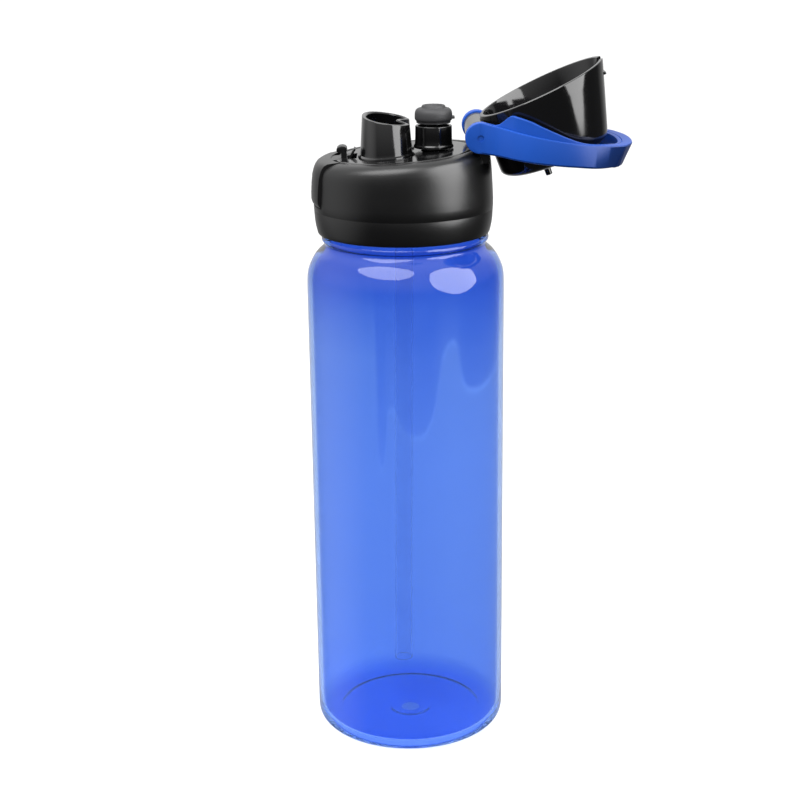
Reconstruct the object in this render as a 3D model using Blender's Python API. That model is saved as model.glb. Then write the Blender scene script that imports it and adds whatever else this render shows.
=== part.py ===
"""Flip-lid drinking bottle with a chug spout, a straw nozzle and a carry loop.

Origin: middle of the base, on the surface the bottle stands on.  +Z is up and
+X points to the hinge side of the lid.  Sizes below are in millimetres.
"""
import math

import bmesh
import bpy
from mathutils import Matrix, Vector

MM = 0.001

# ---- driving dimensions (mm) -------------------------------------------------
BODY_R = 41.0            # outside radius of the bottle
BODY_SIDE_TOP = 196.0    # where the straight side ends and the shoulder starts
NECK_R = 31.0            # outside of the threaded neck
NECK_TOP = 238.0
THREAD_PITCH = 4.0
THREAD_TURNS = 1.25
LID_BOTTOM = 219.2
BORE_R = 33.0            # inside of the collar, over the neck thread
DECK_Z = 251.6           # height of the sloping lid top on the bottle's axis
SLOPE = math.tan(math.radians(4.1))
DECK_R = 28.3
HINGE_X = 30.2
HINGE_Z = 259.7
OPEN_ANGLE = math.radians(159.1)
BARREL_R = 5.4
PIN_R = 1.5
PIN_HOLE_R = 1.85
POST_X = 12.0            # straw nozzle
STRAW_X = -0.5
VENT_X = 15.0
VENT_Y = 13.6
STRAW_R = 4.0
STEPS = 48               # facets round the large turned shapes

HINGE = Vector((HINGE_X, 0.0, HINGE_Z))


# ---- small helpers -----------------------------------------------------------
def clear_scene():
    for old in list(bpy.data.objects):
        bpy.data.objects.remove(old, do_unlink=True)


def finish_of(name, colour, roughness, metallic=0.0, transmission=0.0):
    """One Principled material; colour is linear RGB."""
    mat = bpy.data.materials.new(name)
    mat.use_nodes = True
    shader = mat.node_tree.nodes["Principled BSDF"]
    shader.inputs["Base Color"].default_value = (*colour, 1.0)
    shader.inputs["Roughness"].default_value = roughness
    shader.inputs["Metallic"].default_value = metallic
    shader.inputs["Transmission Weight"].default_value = transmission
    return mat


def place(name, bm, material, pivot=Vector((0, 0, 0)), parent=None):
    """Turn a bmesh in millimetres into a named object with its origin at pivot."""
    bmesh.ops.recalc_face_normals(bm, faces=bm.faces)
    bmesh.ops.translate(bm, vec=-pivot, verts=bm.verts)
    bmesh.ops.scale(bm, vec=(MM, MM, MM), verts=bm.verts)
    mesh = bpy.data.meshes.new(name)
    bm.to_mesh(mesh)
    bm.free()
    obj = bpy.data.objects.new(name, mesh)
    bpy.context.collection.objects.link(obj)
    if material:
        mesh.materials.append(material)
    if parent:
        obj.parent = parent
    else:
        obj.location = pivot * MM
    return obj


def loft(rings, closed=False):
    """Skin a list of rings that all have the same number of points."""
    bm = bmesh.new()
    loops = [[bm.verts.new(point) for point in ring] for ring in rings]
    count = len(rings[0])
    pairs = list(zip(loops, loops[1:]))
    if closed:
        pairs.append((loops[-1], loops[0]))
    for low, high in pairs:
        for i in range(count):
            j = (i + 1) % count
            bm.faces.new((low[i], low[j], high[j], high[i]))
    if not closed:
        bm.faces.new(list(reversed(loops[0])))
        bm.faces.new(loops[-1])
    return bm


def circle(radius, z, x=0.0, y=0.0, steps=STEPS):
    turn = [2 * math.pi * i / steps for i in range(steps)]
    return [Vector((x + radius * math.cos(a), y + radius * math.sin(a), z)) for a in turn]


def revolve(profile, closed=False, x=0.0, y=0.0, steps=STEPS):
    return loft([circle(r, z, x, y, steps) for r, z in profile], closed)


def arc(cx, cz, radius, start, end, count):
    """Points of an arc in the profile plane, angles in degrees."""
    out = []
    for i in range(count + 1):
        a = math.radians(start + (end - start) * i / count)
        out.append((cx + radius * math.cos(a), cz + radius * math.sin(a)))
    return out


def box(low, high):
    bm = bmesh.new()
    size = [high[i] - low[i] for i in range(3)]
    middle = [(high[i] + low[i]) / 2 for i in range(3)]
    place_it = Matrix.Translation(middle) @ Matrix.Diagonal((*size, 1.0))
    bmesh.ops.create_cube(bm, size=1.0, matrix=place_it)
    return bm


def rod(radius, y0, y1, x=HINGE_X, z=HINGE_Z, steps=24):
    """A round bar along Y."""
    bm = bmesh.new()
    lay = Matrix.Translation((x, (y0 + y1) / 2, z)) @ Matrix.Rotation(math.pi / 2, 4, "X")
    bmesh.ops.create_cone(bm, cap_ends=True, segments=steps, radius1=radius,
                          radius2=radius, depth=abs(y1 - y0), matrix=lay)
    return bm


def lean(bm, start=243.5, full=249.0):
    """Slope everything above the thread zone, so the lid top rises to the hinge."""
    for vert in bm.verts:
        share = min(max((vert.co.z - start) / (full - start), 0.0), 1.0)
        vert.co.z += SLOPE * vert.co.x * share
    return bm


def boolean(obj, bm, operation, pivot=Vector((0, 0, 0)), parent=None):
    """Join to or cut from obj with a hidden helper solid."""
    tool = place("tool_" + obj.name, bm, None, pivot, parent)
    tool.hide_render = True
    tool.display_type = "WIRE"
    step = obj.modifiers.new(operation.lower(), "BOOLEAN")
    step.operation = operation
    step.solver = "EXACT"
    step.object = tool
    return tool


def add(obj, bm, **where):
    return boolean(obj, bm, "UNION", **where)


def cut(obj, bm, **where):
    return boolean(obj, bm, "DIFFERENCE", **where)


def tube(path, outer, inner, steps=20):
    """A pipe with open ends along a path of points in the XZ plane."""
    rings_out = []
    rings_in = []
    for i, point in enumerate(path):
        before = path[max(i - 1, 0)]
        after = path[min(i + 1, len(path) - 1)]
        along = (after - before).normalized()
        side = Vector((0, 1, 0))
        up = along.cross(side)
        ring = [(side * math.cos(a) + up * math.sin(a))
                for a in (2 * math.pi * k / steps for k in range(steps))]
        rings_out.append([point + outer * d for d in ring])
        rings_in.append([point + inner * d for d in ring])
    return loft(rings_out + rings_in[::-1], closed=True)


def thread(radius, crest, z_start, turns, per_turn=36):
    """A helical ridge; crest is how far it stands out (negative points inwards)."""
    rings = []
    for i in range(int(turns * per_turn) + 1):
        a = 2 * math.pi * i / per_turn
        z = z_start + THREAD_PITCH * i / per_turn
        root = radius - math.copysign(0.4, crest)
        section = [(root, -0.75), (radius + crest, -0.3), (radius + crest, 0.3), (root, 0.75)]
        rings.append([Vector((r * math.cos(a), r * math.sin(a), z + dz)) for r, dz in section])
    return loft(rings)


# ---- bottle ------------------------------------------------------------------
def bottle_body(material):
    outside = [(8.0, 0.0), (9.5, 1.2), (29.5, 1.2), (31.5, 0.0), (36.0, 0.0)]
    outside += arc(BODY_R - 5.0, 5.0, 5.0, -72, 0, 4)
    outside += [(BODY_R, 100.0), (BODY_R, BODY_SIDE_TOP)]
    outside += [(40.6, 202.2), (39.0, 207.2), (36.6, 210.6), (34.2, 212.8), (33.2, 214.4)]
    outside += [(34.4, 215.8), (34.6, 217.0), (34.2, 218.3), (NECK_R, 218.5)]
    outside += [(NECK_R, NECK_TOP - 0.6), (NECK_R - 0.6, NECK_TOP)]
    inside = [(29.2, NECK_TOP), (28.6, NECK_TOP - 0.6), (28.6, 219.0), (31.0, 215.5)]
    inside += [(34.6, 209.0), (37.6, 204.6), (39.0, 196.0), (39.0, 100.0), (39.0, 7.0)]
    inside += [(37.8, 4.6), (35.5, 3.4), (30.0, 3.2), (9.5, 3.4), (7.5, 2.6)]
    body = place("bottle_body", revolve(outside + inside), material)
    add(body, thread(NECK_R, 1.4, 222.6, THREAD_TURNS))
    return body


def neck_gasket(material):
    ring = [(28.9, 238.4), (32.3, 238.4), (32.3, 239.9), (28.9, 239.9)]
    return place("neck_gasket", revolve(ring, closed=True), material)


# ---- lid ---------------------------------------------------------------------
def lid_collar(material):
    outer = [(BORE_R + 0.5, LID_BOTTOM), (34.4, LID_BOTTOM), (34.9, 219.7), (35.5, 222.0)]
    outer += [(35.8, 225.0), (36.0, 229.2), (36.3, 229.8), (36.2, 234.0), (35.9, 240.0)]
    outer += [(35.5, 245.0), (35.0, 248.2), (34.0, 250.3), (32.4, 251.3), (30.5, 251.6)]
    inner = [(28.8, 251.6), (28.8, 243.3), (30.4, 243.3), (30.6, 248.4), (32.9, 247.8)]
    inner += [(BORE_R, 243.0), (BORE_R, 220.0)]
    bm = revolve(outer + inner, closed=True)
    for vert in bm.verts:
        if vert.co.x < 0 and vert.co.xy.length > 34.0:
            vert.co.x *= 1.03
    collar = place("lid_collar", lean(bm), material)
    add(collar, thread(BORE_R, -1.4, 222.6 - THREAD_PITCH / 2, THREAD_TURNS))
    for side in (-1, 1):
        ends = sorted((side * 12.0, side * 15.8))
        add(collar, box((27.2, ends[0], 249.5), (34.2, ends[1], HINGE_Z)))
        add(collar, rod(BARREL_R, ends[0], ends[1]))
    cut(collar, rod(PIN_HOLE_R, -17.0, 17.0))
    bay = [(34.7, 231.2), (50.0, 231.2), (50.0, 262.0), (20.0, 262.0), (20.0, 243.1), (34.7, 243.1)]
    bay_tool = cut(collar, revolve(bay, closed=True))
    keep = boolean(bay_tool, box((-60.0, -16.2, 225.0), (0.0, 16.2, 270.0)), "INTERSECT")
    keep.name = "tool_bay_width"
    return collar


def spout_outline(grow, z_of, steps=40):
    """Heart-like oval of the chug spout, notched on the side of the straw nozzle."""
    points = []
    for i in range(steps):
        a = 2 * math.pi * i / steps
        c = math.cos(a)
        s = math.sin(a)
        x = (9.9 + grow) * math.copysign(abs(c) ** 0.8, c)
        y = (17.4 + grow) * math.copysign(abs(s) ** 0.9, s)
        if x > 0:
            x -= 4.6 * max(0.0, 1.0 - abs(y) / 8.5) * min(1.0, x / 6.0)
        points.append(Vector((x - 6.9, y, 0.0)))
    for point in points:
        point.z = z_of(point.x)
    return points


def lid_top(x):
    return DECK_Z + SLOPE * x


def spout_rim(x):
    return 266.9 - 0.154 * (x + 17.3)


def spout_deck(material):
    shape = [(26.0, 240.3), (26.0, 249.3), (26.0 * 0.5, 249.4)]
    shape = shape[::-1]
    shape += [(32.5, 240.3), (32.5, 242.6), (DECK_R, 242.6), (DECK_R, 251.0), (27.7, 251.6)]
    deck = place("spout_deck", lean(revolve(shape)), material)
    add(deck, box((-27.2, -8.0, 244.0), (-17.6, 8.0, 249.4)))
    rings = [spout_outline(1.9, lambda x: lid_top(x) - 1.0),
             spout_outline(1.9, lambda x: lid_top(x) + 0.7),
             spout_outline(1.2, lambda x: lid_top(x) + 0.9),
             spout_outline(0.0, spout_rim)]
    add(deck, loft(rings))
    bore = [spout_outline(-0.6, lambda x: 238.0),
            spout_outline(-0.6, lambda x: lid_top(x) + 1.0),
            spout_outline(-1.6, lambda x: spout_rim(x) + 1.0)]
    cut(deck, loft(bore))
    cut(deck, box((-31.0, -6.4, 245.6), (-19.2, 6.4, 262.0)))
    cut(deck, revolve([(5.2, 240.0), (5.2, 262.0)], x=POST_X, steps=24))
    cut(deck, revolve([(1.35, 245.0), (1.35, 256.0)], x=VENT_X, y=VENT_Y, steps=16))
    return deck


def nozzle_post(material):
    foot = lid_top(POST_X) + 0.9
    shape = [(3.4, 246.6), (4.8, 246.6), (4.8, foot), (8.1, foot), (8.1, foot + 1.1)]
    shape += [(7.6, foot + 1.4), (7.4, 262.2), (6.9, 262.7), (5.4, 262.9), (5.4, 267.6)]
    shape += [(4.9, 268.1), (3.4, 268.1)]
    return place("nozzle_post", revolve(shape, closed=True, x=POST_X, steps=32), material)


def mouthpiece(material):
    shape = [(5.8, 263.4), (7.1, 263.4), (7.2, 264.4), (8.0, 264.9), (8.2, 266.0), (8.1, 268.2)]
    shape += [(7.3, 269.6), (5.4, 270.2), (5.2, 271.0), (4.6, 271.3), (3.9, 271.0), (3.5, 270.4)]
    shape += [(2.2, 270.2), (2.2, 268.6), (5.8, 268.6)]
    cap = place("mouthpiece", revolve(shape, closed=True, x=POST_X, steps=32), material)
    add(cap, box((POST_X + 7.6, -1.6, 265.2), (POST_X + 9.0, 1.6, 266.5)))
    return cap


def straw_duct(material):
    bend = [Vector((POST_X, 0, 246.2)), Vector((POST_X, 0, 245.0))]
    for i in range(1, 8):
        t = i / 8
        ease = t * t * (3 - 2 * t)
        bend.append(Vector((POST_X + (STRAW_X - POST_X) * ease, 0, 245.0 - 9.0 * t)))
    bend += [Vector((STRAW_X, 0, 236.0)), Vector((STRAW_X, 0, 232.9))]
    return place("straw_duct", tube(bend, 4.0, 3.0), material)


def straw_sleeve(material):
    ring = [(4.35, 226.5), (5.7, 226.5), (5.7, 234.6), (4.35, 234.6)]
    return place("straw_sleeve", revolve(ring, closed=True, x=STRAW_X, steps=24), material)


def straw(material):
    ends = [Vector((-2.6, 0, 26.0)), Vector((STRAW_X, 0, 216.0)), Vector((STRAW_X, 0, 232.5))]
    return place("straw", tube(ends, STRAW_R, 3.3, steps=24), material)


def vent_valve(material):
    z = lid_top(VENT_X) + 0.6
    shape = [(0.9, 247.6), (0.9, z), (3.0, z), (2.8, z + 0.6), (1.4, z + 1.0)]
    return place("vent_valve", revolve(shape, x=VENT_X, y=VENT_Y, steps=16), material)


# ---- latch -------------------------------------------------------------------
def latch_button(material):
    outer = [(36.3, 231.7), (37.3, 231.6), (38.3, 233.6), (38.2, 236.0), (37.6, 243.0)]
    outer += [(37.0, 248.0), (36.2, 250.2), (34.6, 251.3), (32.5, 251.7), (29.9, 251.8)]
    inner = [(29.9, 249.8), (34.2, 249.4), (35.6, 247.4), (36.2, 243.0)]
    bm = lean(revolve(outer + inner, closed=True, steps=96))
    button = place("latch_button", bm, material)
    boolean(button, box((-50.0, -15.6, 225.0), (0.0, 15.6, 270.0)), "INTERSECT")
    add(button, lean(box((-31.5, -6.0, 246.9), (-21.4, 6.0, 251.5))))
    add(button, box((-25.6, -3.2, 249.0), (-23.4, 3.2, 253.6)))
    hook = loft([[Vector((-27.4, y, 252.4)), Vector((-24.2, y, 252.0)), Vector((-23.2, y, 253.4)),
                  Vector((-24.2, y, 254.5)), Vector((-26.4, y, 254.4)), Vector((-27.4, y, 253.4))]
                 for y in (-3.2, 3.2)])
    add(button, hook)
    return button


def latch_spring(material):
    side = [(-23.4, 250.0), (-22.5, 250.0), (-21.6, 250.4), (-19.9, 253.2), (-20.6, 253.6),
            (-22.2, 251.0), (-23.4, 250.9)]
    blade = loft([[Vector((x + 0.35, y, z)) for x, z in side] for y in (-3.0, 3.0)])
    return place("latch_spring", blade, material)


# ---- hinge -------------------------------------------------------------------
def hinge_pins(material):
    place("cover_pin", rod(PIN_R, -13.6, 13.6, steps=16), material)
    place("loop_pin_near", rod(PIN_R, -20.2, -14.0, steps=16), material)
    place("loop_pin_far", rod(PIN_R, 14.0, 20.2, steps=16), material)


def cover_spring(material):
    turns = 5.0
    rings = []
    total = 90
    wire = 0.5
    for i in range(total + 1):
        a = 2 * math.pi * turns * i / total
        y = -7.0 + 14.0 * i / total
        out = Vector((math.cos(a), 0, math.sin(a)))
        middle = HINGE + 2.7 * out + Vector((0, y, 0))
        rings.append([middle + wire * (math.cos(b) * out + math.sin(b) * Vector((0, 1, 0)))
                      for b in (0, math.pi / 3, 2 * math.pi / 3, math.pi,
                                4 * math.pi / 3, 5 * math.pi / 3)])
    return place("cover_spring", loft(rings), material)


# ---- cover, drawn shut and then turned open about its hinge --------------------
def cover_ring(t, inset=0.0, steps=STEPS):
    """Section of the cover's side; t runs from the rim (0) to the shoulder (1)."""
    middle = 0.6 + 3.95 * t
    a = 27.0 - 4.0 * t - inset
    b = 26.6 - 4.6 * t - inset
    ring = []
    for i in range(steps):
        turn = 2 * math.pi * i / steps
        x = middle + a * math.cos(turn)
        z = (lid_top(x) + 0.4) * (1 - t) + 278.6 * t
        ring.append(Vector((x, b * math.sin(turn), z)))
    return ring


def dome_ring(a, b, z, steps=STEPS):
    return [Vector((4.55 + a * math.cos(t), b * math.sin(t), z))
            for t in (2 * math.pi * i / steps for i in range(steps))]


def cover(material, axis):
    inside = [dome_ring(10.0, 9.5, 280.2), dome_ring(18.6, 17.8, 279.0)]
    inside += [cover_ring(t, 1.8) for t in (0.96, 0.6, 0.3, 0.02)]
    outside = [cover_ring(t, 0.0) for t in (0.0, 0.3, 0.6, 1.0)]
    outside[0] = cover_ring(0.0, 0.5)
    outside.insert(1, cover_ring(0.02, 0.0))
    outside += [dome_ring(22.2, 21.2, 279.9), dome_ring(20.4, 19.4, 280.9)]
    outside += [dome_ring(15.0, 14.2, 281.8), dome_ring(7.0, 6.6, 282.3)]
    shell = place("cover", loft(inside + outside), material, HINGE, axis)
    where = {"pivot": HINGE, "parent": axis}
    add(shell, rod(BARREL_R, -11.6, 11.6), **where)
    add(shell, box((-25.5, -3.4, 255.7), (-23.0, 3.4, 256.8)), **where)
    add(shell, revolve([(1.45, 281.0), (1.35, 286.9)], x=9.5, steps=12), **where)
    cut(shell, rod(4.0, -9.0, 9.0), **where)
    cut(shell, rod(PIN_HOLE_R, -12.5, 12.5), **where)
    cut(shell, box((-32.0, -4.0, 245.0), (-20.0, 4.0, 255.6)), **where)
    return shell


def spout_seal(material, axis):
    rings = [spout_outline(-1.9, lambda x: spout_rim(x) + 0.5, steps=28),
             spout_outline(-0.4, lambda x: spout_rim(x) + 0.5, steps=28),
             spout_outline(-0.4, lambda x: spout_rim(x) + 2.6, steps=28),
             spout_outline(-4.0, lambda x: spout_rim(x) + 3.4, steps=28),
             spout_outline(-4.0, lambda x: 278.3, steps=28)]
    return place("spout_seal", loft(rings), material, HINGE, axis)


def nozzle_seal(material, axis):
    shape = [(4.0, 271.8), (5.8, 272.2), (5.8, 274.2), (4.4, 275.0), (4.4, 279.3)]
    return place("nozzle_seal", revolve(shape, x=POST_X, steps=24), material, HINGE, axis)


# ---- carry loop --------------------------------------------------------------
def loop_station(t):
    """Plan point of the outer face for t from 0 (near pivot) to 1 (far pivot)."""
    plan = [(30.2, -21.4), (36.5, -22.8), (43.0, -27.4), (50.0, -30.8), (58.0, -32.0)]
    plan += [(67.0, -31.7), (74.0, -29.8), (80.5, -26.3), (86.4, -21.8), (88.1, -19.5)]
    plan += [(90.6, -13.0), (91.7, -6.5), (92.0, 0.0)]
    plan += [(x, -y) for x, y in plan[-2::-1]]
    place_at = t * (len(plan) - 1)
    k = min(max(int(place_at), 0), len(plan) - 2)
    f = place_at - k
    p0 = Vector(plan[max(k - 1, 0)])
    p1 = Vector(plan[k])
    p2 = Vector(plan[k + 1])
    p3 = Vector(plan[min(k + 2, len(plan) - 1)])
    point = 0.5 * (2 * p1 + (p2 - p0) * f + (2 * p0 - 5 * p1 + 4 * p2 - p3) * f * f
                   + (3 * p1 - p0 - 3 * p2 + p3) * f ** 3)
    slope = 0.5 * ((p2 - p0) + 2 * (2 * p0 - 5 * p1 + 4 * p2 - p3) * f
                   + 3 * (3 * p1 - p0 - 3 * p2 + p3) * f * f)
    return point, slope.normalized()


def loop_heights(x):
    """Underside, top of the outer wall and top of the inner wall of the loop at x."""
    run = (x - HINGE_X) / 60.0
    middle = HINGE_Z - 11.6 * run + 3.6 * run * run
    half = 6.1 - 1.5 * min(1.0, run * 1.6)
    rib = 5.6 * max(0.0, 1.0 - max(0.0, x - 40.0) / 36.0) * min(1.0, max(0.0, (x - 35.0) / 6.5))
    return middle - half, middle + half, middle + half + rib


def loop_section(t):
    point, along = loop_station(t)
    inward = Vector((-along.y, along.x))
    low, top, rib = loop_heights(point.x)
    end = min(1.0, max(0.0, (point.x - 74.0) / 10.0))
    waist = max(0.0, 1.0 - abs(point.x - 40.0) / 9.0)
    width = 5.0 - 1.4 * min(1.0, 1.5 * waist) + 0.9 * end
    groove = 1.7 * min(1.0, max(0.0, (point.x - 34.0) / 4.0)) * (1.0 - end)
    under = 3.2 * min(1.0, max(0.0, (point.x - 74.0) / 13.0))
    section = [(under + 0.7, low), (under, low + 0.8), (0.0, top - 0.6), (0.5, top), (1.2, top)]
    section += [(1.4, top - groove), (width - 2.0, top - groove), (width - 1.8, rib - 0.3)]
    section += [(width - 1.5, rib), (width - 0.4, rib), (width, rib - 0.5), (width, low + 0.8)]
    section += [(width - 0.7, low)]
    return [Vector((point.x + inward.x * d, point.y + inward.y * d, z)) for d, z in section]


def carry_loop(material):
    stations = [loop_section(i / 44) for i in range(45)]
    loop = place("carry_loop", loft(stations), material, HINGE)
    for side in (-1, 1):
        ends = sorted((side * 16.4, side * 21.4))
        add(loop, rod(6.1, ends[0], ends[1], steps=32), pivot=HINGE)
        hole = sorted((side * 15.0, side * 20.5))
        cut(loop, rod(PIN_HOLE_R, hole[0], hole[1], steps=16), pivot=HINGE)
    return loop


# ---- assembly ----------------------------------------------------------------
def build():
    clear_scene()
    clear_blue = finish_of("bottle_blue", (0.02, 0.11, 0.80), 0.05, transmission=0.9)
    satin = finish_of("satin_black", (0.012, 0.012, 0.013), 0.38)
    gloss = finish_of("gloss_black", (0.008, 0.008, 0.009), 0.08)
    rubber = finish_of("grey_silicone", (0.06, 0.06, 0.062), 0.6)
    white = finish_of("clear_silicone", (0.55, 0.56, 0.57), 0.5)
    blue = finish_of("loop_blue", (0.025, 0.09, 0.42), 0.35)
    steel = finish_of("steel", (0.55, 0.55, 0.56), 0.3, metallic=1.0)
    tint = finish_of("straw_blue", (0.10, 0.25, 0.75), 0.2, transmission=0.6)

    axis = bpy.data.objects.new("cover_axis", None)
    axis.location = HINGE * MM
    axis.rotation_euler = (0.0, OPEN_ANGLE, 0.0)
    bpy.context.collection.objects.link(axis)

    bottle_body(clear_blue)
    neck_gasket(white.copy())
    lid_collar(satin)
    spout_deck(gloss)
    nozzle_post(gloss.copy())
    mouthpiece(rubber)
    straw_duct(gloss.copy())
    straw_sleeve(white.copy())
    straw(tint)
    vent_valve(rubber.copy())
    latch_button(satin.copy())
    latch_spring(satin.copy())
    hinge_pins(steel)
    cover_spring(steel.copy())
    cover(gloss.copy(), axis)
    spout_seal(white, axis)
    nozzle_seal(white.copy(), axis)
    carry_loop(blue)


build()
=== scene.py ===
# %% [markdown]
# # A flip-lid drinking bottle
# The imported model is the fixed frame: it says how big every part is and which
# parts move together. This lesson dresses it. The parts a viewer sees are
# modelled again with finer curves, and every other part gets its real finish.

import math

import bmesh
import bpy
from mathutils import Matrix, Vector


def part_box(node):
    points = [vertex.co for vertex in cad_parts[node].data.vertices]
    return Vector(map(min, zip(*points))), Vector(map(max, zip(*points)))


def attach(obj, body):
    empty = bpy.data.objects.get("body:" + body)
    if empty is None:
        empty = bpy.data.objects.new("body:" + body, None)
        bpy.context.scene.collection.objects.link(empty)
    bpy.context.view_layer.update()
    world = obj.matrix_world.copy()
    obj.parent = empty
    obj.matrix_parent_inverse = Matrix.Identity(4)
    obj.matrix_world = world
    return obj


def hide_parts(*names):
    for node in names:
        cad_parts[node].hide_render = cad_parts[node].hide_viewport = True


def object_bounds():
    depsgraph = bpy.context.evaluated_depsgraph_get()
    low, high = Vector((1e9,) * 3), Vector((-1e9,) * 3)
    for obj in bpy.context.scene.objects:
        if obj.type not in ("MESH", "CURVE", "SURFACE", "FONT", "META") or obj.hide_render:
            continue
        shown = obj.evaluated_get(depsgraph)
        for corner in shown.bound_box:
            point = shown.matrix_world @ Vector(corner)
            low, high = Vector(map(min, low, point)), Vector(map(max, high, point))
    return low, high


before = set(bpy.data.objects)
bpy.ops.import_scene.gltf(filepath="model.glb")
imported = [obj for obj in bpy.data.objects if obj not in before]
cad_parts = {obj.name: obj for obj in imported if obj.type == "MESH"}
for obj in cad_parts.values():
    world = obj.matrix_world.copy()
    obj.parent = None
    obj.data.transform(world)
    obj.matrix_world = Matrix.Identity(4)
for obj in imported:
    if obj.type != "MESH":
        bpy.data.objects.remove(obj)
cad_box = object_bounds()
MM = 0.001
size = [round((high - low) / MM, 1) for low, high in zip(*cad_box)]
print("frame size in mm:", size, "with", len(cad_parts), "parts")

# %% [markdown]
# ## Small tools
# A turned part starts as a half outline that is spun round its axis, as on a
# lathe. A part that isn't round starts as a circle that is extruded level by
# level, and each level is moved into the section it has there. Both leave
# open ends or seams, so doubles are merged and normals are recalculated.


# %% Turn an outline round an upright axis
def turned(outline, steps, closed=False, x=0.0, y=0.0):
    """Spin (radius, height) points, in millimetres, into a round part."""
    bm = bmesh.new()
    verts = [bm.verts.new((x + radius, y, z)) for radius, z in outline]
    edges = [bm.edges.new(pair) for pair in zip(verts, verts[1:])]
    if closed:
        edges.append(bm.edges.new((verts[-1], verts[0])))
    bmesh.ops.spin(bm, geom=verts + edges, cent=(x, y, 0.0), axis=(0.0, 0.0, 1.0),
                   angle=math.tau, steps=steps, use_merge=True)
    return tidy(bm)


def tidy(bm):
    """Merge doubles, then turn every face outwards."""
    bmesh.ops.remove_doubles(bm, verts=bm.verts, dist=0.0005)
    bmesh.ops.recalc_face_normals(bm, faces=bm.faces)
    return bm


# %% Grow a part level by level
def grown(levels, closed=False):
    """Extrude a circle through levels, which are lists of points in millimetres."""
    bm = bmesh.new()
    bmesh.ops.create_circle(bm, segments=len(levels[0]), radius=1.0)
    order = bm.verts.layers.int.new("order")
    for place, vert in enumerate(bm.verts):
        vert[order] = place
        vert.co = levels[0][place]
    edges = bm.edges[:]
    ends = [edges]
    for level in levels[1:] + ([levels[0]] if closed else []):
        grown_part = bmesh.ops.extrude_edge_only(bm, edges=edges)["geom"]
        edges = [e for e in grown_part if isinstance(e, bmesh.types.BMEdge) and e.is_boundary]
        for vert in {v for edge in edges for v in edge.verts}:
            vert.co = level[vert[order]]
    ends.append(edges)
    if not closed:
        for ring in ends:
            bmesh.ops.contextual_create(bm, geom=ring)
    return tidy(bm)


# %% Simple solids
def block(low, high):
    """A box between two corners."""
    bm = bmesh.new()
    sizes = [b - a for a, b in zip(low, high)]
    middle = [(a + b) / 2 for a, b in zip(low, high)]
    bmesh.ops.create_cube(bm, size=1.0, matrix=Matrix.Translation(middle)
                          @ Matrix.Diagonal((*sizes, 1.0)))
    return bm


def cross_bar(radius, start, end, x, z, steps=96):
    """A round bar that lies along Y."""
    bm = bmesh.new()
    lay = Matrix.Translation((x, (start + end) / 2, z)) @ Matrix.Rotation(math.pi / 2, 4, "X")
    bmesh.ops.create_cone(bm, cap_ends=True, segments=steps, radius1=radius,
                          radius2=radius, depth=abs(end - start), matrix=lay)
    return bm


def soften(bm, width, sharper_than=28.0, steps=3, pick=None):
    """Round the edges that fold more than an angle."""
    limit = math.radians(sharper_than)
    edges = [e for e in bm.edges if len(e.link_faces) == 2
             and e.calc_face_angle(0.0) > limit and (pick is None or pick(e))]
    bmesh.ops.bevel(bm, geom=edges, offset=width, offset_type="OFFSET", affect="EDGES",
                    segments=steps, profile=0.5, material=-1, clamp_overlap=True)
    return bm


# %% Make objects, join them and cut them
def part(name, bm):
    """Turn a bmesh in millimetres into an object at the origin, in metres."""
    bmesh.ops.scale(bm, vec=(MM, MM, MM), verts=bm.verts)
    mesh = bpy.data.meshes.new(name)
    bm.to_mesh(mesh)
    bm.free()
    piece = bpy.data.objects.new(name, mesh)
    bpy.context.scene.collection.objects.link(piece)
    return piece


def combine(piece, bm, operation):
    """Join bm to a piece, cut it out, or keep what they share, for good."""
    helper = part("helper", bm)
    step = piece.modifiers.new(operation.lower(), "BOOLEAN")
    step.operation = operation
    step.solver = "EXACT"
    step.object = helper
    seen = piece.evaluated_get(bpy.context.evaluated_depsgraph_get())
    done = bpy.data.meshes.new_from_object(seen)
    piece.modifiers.clear()
    piece.data = done
    bpy.data.objects.remove(helper)


def shade(piece, crease=30.0):
    """Smooth shading that keeps the folds above an angle crisp."""
    piece.data.shade_smooth()
    piece.data.set_sharp_from_angle(angle=math.radians(crease))


# %% [markdown]
# ## Nodes and colours
# Colours are written as the hex values a colour picker shows. Shaders work in
# linear light, so one function converts them. One more adds a node.


# %% Colour and node helpers
def linear(hex_colour):
    """sRGB hex to linear RGBA."""
    parts = [int(hex_colour[i:i + 2], 16) / 255 for i in (1, 3, 5)]
    return [*(c / 12.92 if c <= 0.04045 else ((c + 0.055) / 1.055) ** 2.4 for c in parts), 1.0]


def add_node(tree, kind, settings=None, links=None):
    """Add a node; settings are its properties or input values, links its inputs."""
    node = tree.nodes.new(kind)
    for key, value in (settings or {}).items():
        if isinstance(key, str) and hasattr(node, key):
            setattr(node, key, value)
        else:
            node.inputs[key].default_value = value
    for key, output in (links or {}).items():
        tree.links.new(output, node.inputs[key])
    return node


# %% [markdown]
# ## Finishes
# Moulded plastic is never perfectly even. Each finish has a slow wave from the
# mould's own polishing, and a fine grain from the tool's texture. Both work on
# Object coordinates in metres, so a pattern's scale is one over its real size.
# Handling leaves faint smears, which show as small changes of roughness.


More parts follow.
